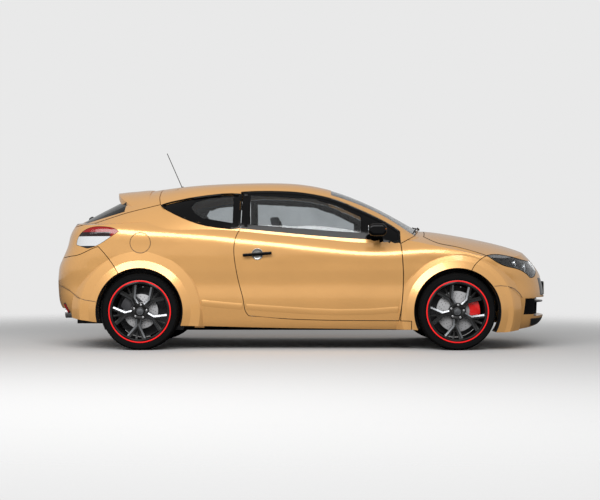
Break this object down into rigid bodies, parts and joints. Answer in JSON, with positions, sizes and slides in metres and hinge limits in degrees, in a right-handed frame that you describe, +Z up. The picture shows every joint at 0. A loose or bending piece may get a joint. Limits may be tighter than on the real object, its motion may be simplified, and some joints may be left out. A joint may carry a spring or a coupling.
{
  "type": "three-door hot hatchback car",
  "caption": "Low three-door hatchback road car with a sloping roof, rear spoiler, flared arches, opening doors, bonnet and tailgate, steered front wheels and a hollow cabin.",
  "frame": {"origin": "on the ground, under the centre of the bounding box", "axes": "+X forward, +Y to the car's left, +Z up"},
  "size_m": [4.2996, 2.05, 1.7234],
  "materials": {
    "paint": "gloss sandy yellow",
    "glass": "clear, lightly tinted",
    "dark_glass": "dark tinted",
    "lamp_clear": "clear lens",
    "lamp_red": "red lens",
    "black_trim": "textured black",
    "black_gloss": "gloss black",
    "tyre": "rubber",
    "black_alloy": "gloss black with machined edges",
    "disc_iron": "ground",
    "caliper_red": "red enamel",
    "chassis_black": "satin black",
    "engine_metal": "cast",
    "exhaust_steel": "stainless",
    "seat_cloth": "dark cloth",
    "cabin_plastic": "soft grained"
  },
  "bodies": {
    "chassis": {"body_shell": "paint", "front_wings": "paint", "front_bumper": "paint", "rear_bumper": "paint", "windscreen": "glass", "quarter_glasses": "dark_glass", "side_skirts": "paint", "headlamps": "lamp_clear", "tail_lamps": "lamp_red", "grille": "black_trim", "rear_axle": "chassis_black", "front_subframe": "chassis_black", "powertrain": "engine_metal", "exhaust": "exhaust_steel", "front_seats": "seat_cloth", "rear_bench": "seat_cloth", "dashboard": "cabin_plastic", "floor_pan": "chassis_black", "wipers": "black_trim", "aerial": "black_trim"},
    "bonnet": {"bonnet": "paint"},
    "tailgate": {"tailgate": "paint", "rear_glass": "dark_glass"},
    "door_left": {"door_left": "paint", "door_glass_left": "dark_glass", "mirror_left": "black_gloss"},
    "door_right": {"door_right": "paint", "door_glass_right": "dark_glass", "mirror_right": "black_gloss"},
    "upright_left": {"knuckle_left": "caliper_red"},
    "upright_right": {"knuckle_right": "caliper_red"},
    "wheel_front_left": {"tyre_front_left": "tyre", "rim_front_left": "black_alloy", "disc_front_left": "disc_iron"},
    "wheel_front_right": {"tyre_front_right": "tyre", "rim_front_right": "black_alloy", "disc_front_right": "disc_iron"},
    "wheel_rear_left": {"tyre_rear_left": "tyre", "rim_rear_left": "black_alloy", "disc_rear_left": "disc_iron"},
    "wheel_rear_right": {"tyre_rear_right": "tyre", "rim_rear_right": "black_alloy", "disc_rear_right": "disc_iron"},
    "steering_wheel": {"steering_wheel": "cabin_plastic"},
    "fuel_flap": {"fuel_flap": "paint"}
  },
  "joints": [
    {"name": "steer_left", "type": "hinge", "parent": "chassis", "child": "upright_left", "pos_m": [1.2885, 0.75, 0.322], "axis": [0, 0, 1], "range_deg": [-33, 33]},
    {"name": "steer_right", "type": "hinge", "parent": "chassis", "child": "upright_right", "pos_m": [1.2885, -0.75, 0.322], "axis": [0, 0, 1], "range_deg": [-33, 33]},
    {"name": "steering_wheel_turn", "type": "hinge", "parent": "chassis", "child": "steering_wheel", "pos_m": [0.43, 0.37, 0.83], "axis": [-0.9063, 0, 0.4226], "range_deg": [-462, 462]},
    {"name": "wheel_spin_front_left", "type": "hinge", "parent": "upright_left", "child": "wheel_front_left", "pos_m": [1.2885, 0.795, 0.322], "axis": [0, 1, 0], "continuous": true},
    {"name": "wheel_spin_front_right", "type": "hinge", "parent": "upright_right", "child": "wheel_front_right", "pos_m": [1.2885, -0.795, 0.322], "axis": [0, 1, 0], "continuous": true},
    {"name": "wheel_spin_rear_left", "type": "hinge", "parent": "chassis", "child": "wheel_rear_left", "pos_m": [-1.3475, 0.773, 0.322], "axis": [0, 1, 0], "continuous": true},
    {"name": "wheel_spin_rear_right", "type": "hinge", "parent": "chassis", "child": "wheel_rear_right", "pos_m": [-1.3475, -0.773, 0.322], "axis": [0, 1, 0], "continuous": true},
    {"name": "door_left_hinge", "type": "hinge", "parent": "chassis", "child": "door_left", "pos_m": [0.842, 0.896, 0.55], "axis": [0, 0, -1], "range_deg": [0, 62]},
    {"name": "door_right_hinge", "type": "hinge", "parent": "chassis", "child": "door_right", "pos_m": [0.842, -0.896, 0.55], "axis": [0, 0, 1], "range_deg": [0, 62]},
    {"name": "bonnet_hinge", "type": "hinge", "parent": "chassis", "child": "bonnet", "pos_m": [1, 0, 1.005], "axis": [0, -1, 0], "range_deg": [0, 52]},
    {"name": "tailgate_hinge", "type": "hinge", "parent": "chassis", "child": "tailgate", "pos_m": [-1.222, 0, 1.392], "axis": [0, 1, 0], "range_deg": [0, 78]},
    {"name": "fuel_flap_hinge", "type": "hinge", "parent": "chassis", "child": "fuel_flap", "pos_m": [-1.2595, -0.8895, 0.893], "axis": [0, 0, 1], "range_deg": [0, 100]}
  ],
  "couplings": [
    {"joint": "steer_right", "follows": "steer_left", "ratio": 1},
    {"joint": "steering_wheel_turn", "follows": "steer_left", "ratio": 14}
  ]
}
